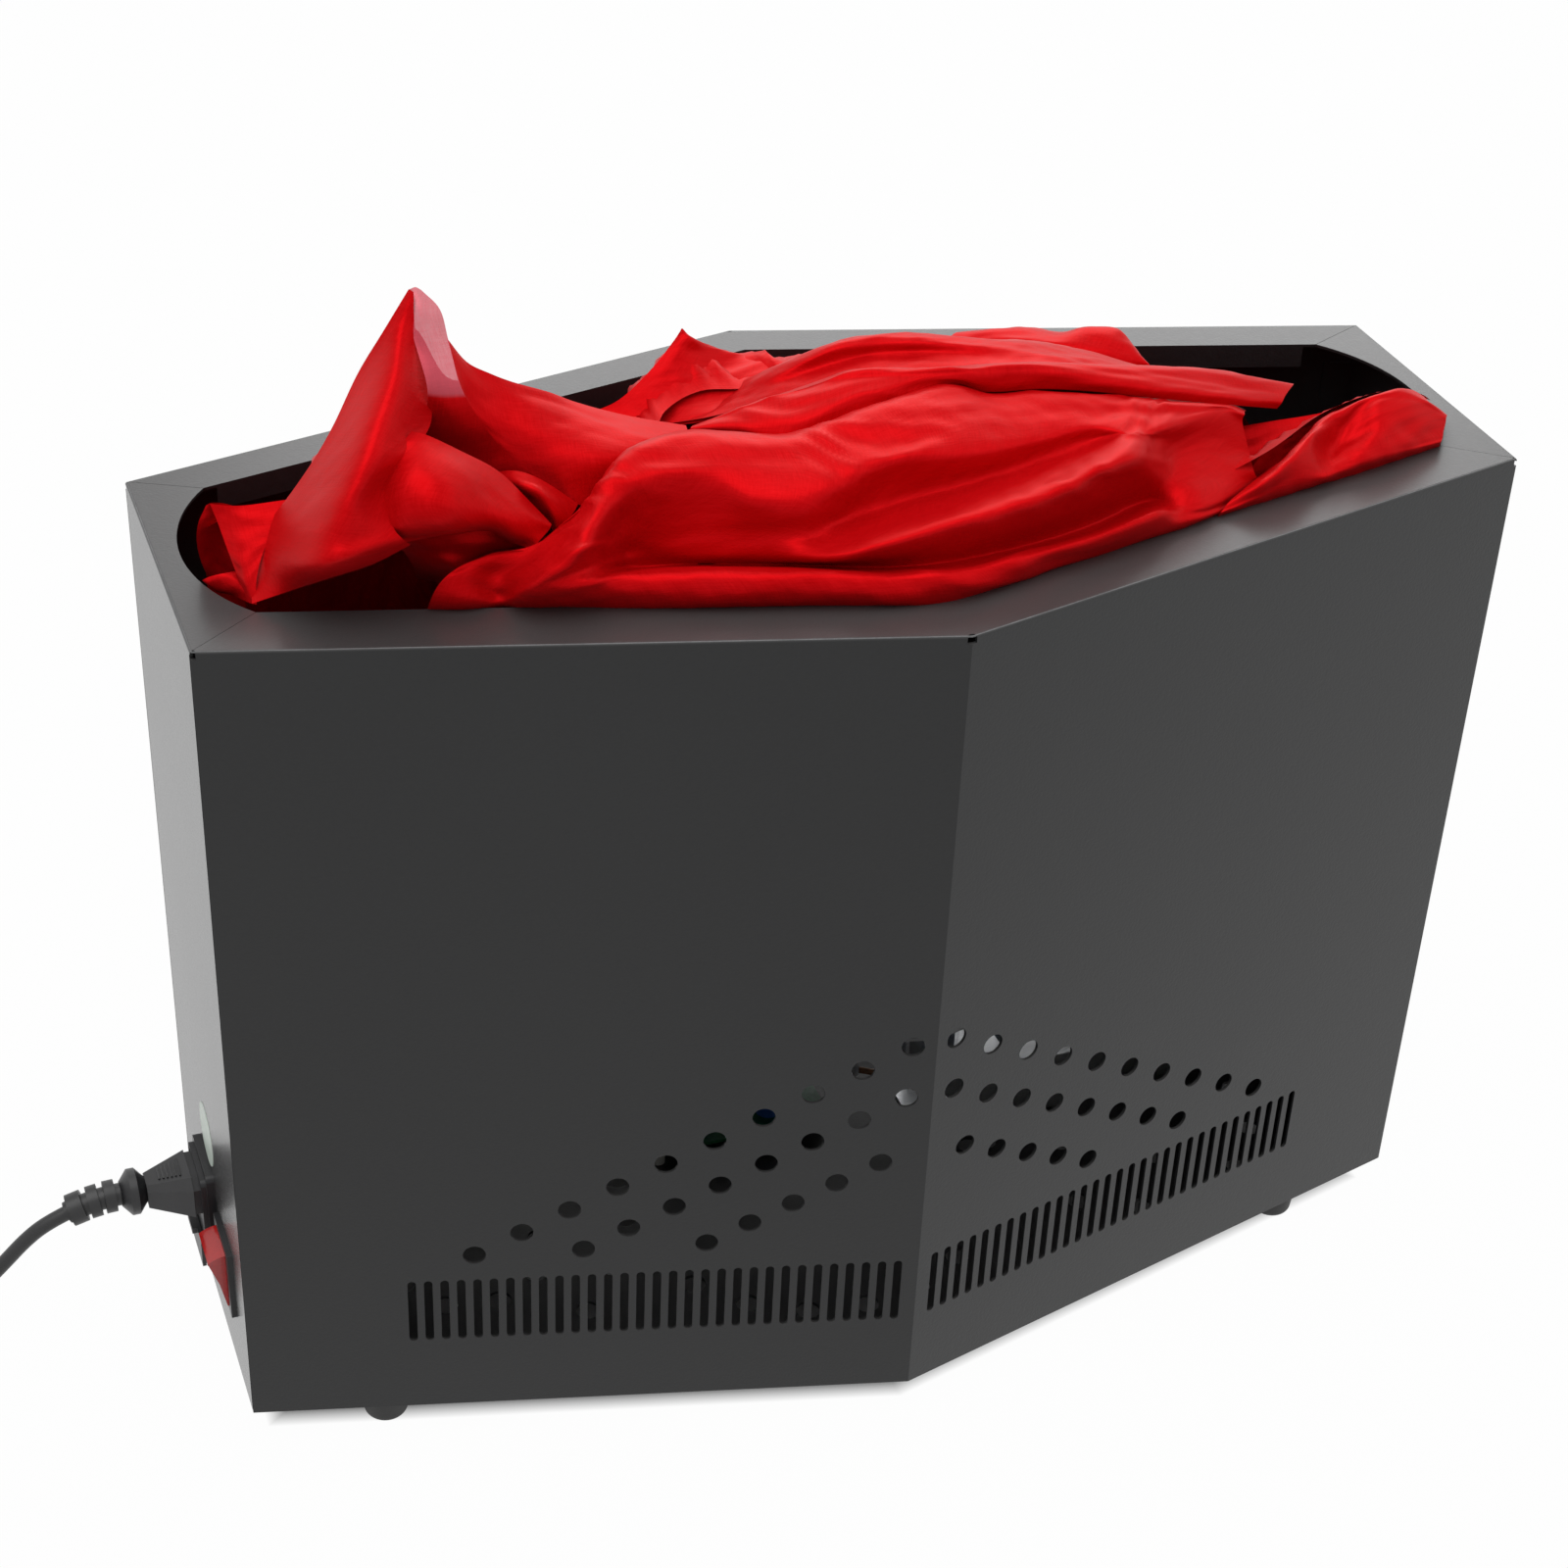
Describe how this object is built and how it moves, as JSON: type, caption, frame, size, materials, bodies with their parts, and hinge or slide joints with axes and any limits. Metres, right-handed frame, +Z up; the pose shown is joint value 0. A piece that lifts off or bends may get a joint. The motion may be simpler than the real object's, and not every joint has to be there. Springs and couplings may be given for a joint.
{
  "type": "silk flame effect light",
  "caption": "Tall six-sided sheet housing with an open mouth, fans and lamps inside, and silk lying in the mouth; mains inlet and rocker switch on one end.",
  "frame": {"origin": "on the surface under the feet, midway between the plain end and the controls on the other end", "axes": "+X along the housing from the inlet end to the plain end, +Y to the rear, +Z up"},
  "size_m": [0.7259, 0.251, 0.4599],
  "materials": {
    "powder_coat": "fine texture, satin",
    "zinc_plate": "zinc-plated sheet",
    "steel_screw": "plated",
    "rubber_foot": "matt",
    "fan_plastic": "satin",
    "aluminium": "extruded, bare",
    "board_white": "white solder mask",
    "lens": "clear",
    "silk": "satin silk",
    "black_plastic": "fine matt",
    "brass": "plated",
    "fuse_glass": "clear with metal caps",
    "red_key": "translucent",
    "paper_label": "printed paper",
    "cord_pvc": "soft satin",
    "circuit_board": "green solder mask",
    "component_blue": "moulded",
    "wire_insulation": "smooth",
    "nylon": "natural"
  },
  "bodies": {
    "housing": {"front_panel": "powder_coat", "rear_panel": "powder_coat", "left_end_panel": "powder_coat", "right_end_panel": "powder_coat", "base_plate": "zinc_plate", "base_screws": "steel_screw", "foot_front_left": "rubber_foot", "foot_front_right": "rubber_foot", "foot_rear_left": "rubber_foot", "foot_rear_right": "rubber_foot", "foot_screws": "steel_screw", "fan_shelf": "powder_coat", "shelf_brackets": "zinc_plate", "shelf_screws": "steel_screw", "fan_guards": "steel_screw", "lamp_heatsink_front": "aluminium", "lamp_heatsink_rear": "aluminium", "lamp_boards": "board_white", "lamp_lenses": "lens", "rod_brackets": "zinc_plate", "silk_rods": "steel_screw", "silk_clips": "black_plastic", "power_inlet": "black_plastic", "inlet_pins": "brass", "switch_body": "black_plastic", "switch_tabs": "brass", "round_label": "paper_label", "led_driver": "aluminium", "control_board": "circuit_board", "board_standoffs": "nylon", "board_components": "component_blue", "terminal_block": "nylon", "earth_stud": "brass", "mains_wires": "wire_insulation", "supply_wires": "wire_insulation", "fan_wires": "wire_insulation", "lamp_wires": "wire_insulation", "silk_left": "silk", "silk_centre": "silk", "silk_right": "silk", "fan_frame_left": "fan_plastic", "fan_frame_centre": "fan_plastic", "fan_frame_right": "fan_plastic"},
    "fan_left": {"fan_rotor_left": "fan_plastic"},
    "fan_centre": {"fan_rotor_centre": "fan_plastic"},
    "fan_right": {"fan_rotor_right": "fan_plastic"},
    "rocker": {"switch_rocker": "red_key"},
    "drawer": {"fuse_drawer": "black_plastic", "fuse": "fuse_glass"},
    "cordset": {"connector_body": "black_plastic", "strain_relief": "cord_pvc", "cord_run": "cord_pvc", "cord_coil": "cord_pvc", "cord_tail": "cord_pvc", "cord_tie": "black_plastic", "mains_plug": "black_plastic", "plug_blades": "brass"}
  },
  "joints": [
    {"name": "fan_left_spin", "type": "hinge", "parent": "housing", "child": "fan_left", "pos_m": [-0.1455, 0, 0.17], "axis": [0, 0, 1], "continuous": true},
    {"name": "fan_centre_spin", "type": "hinge", "parent": "housing", "child": "fan_centre", "pos_m": [0.0045, 0, 0.17], "axis": [0, 0, 1], "continuous": true},
    {"name": "fan_right_spin", "type": "hinge", "parent": "housing", "child": "fan_right", "pos_m": [0.1545, 0, 0.17], "axis": [0, 0, 1], "continuous": true},
    {"name": "switch_rock", "type": "hinge", "parent": "housing", "child": "rocker", "pos_m": [-0.2495, -0.026, 0.061], "axis": [0, 1, 0], "range_deg": [0, 30]},
    {"name": "fuse_drawer_slide", "type": "slide", "parent": "housing", "child": "drawer", "axis": [-1, 0, 0], "range_m": [0, 0.012]},
    {"name": "connector_unplug", "type": "slide", "parent": "housing", "child": "cordset", "axis": [-1, 0, 0], "range_m": [0, 0.02]}
  ]
}
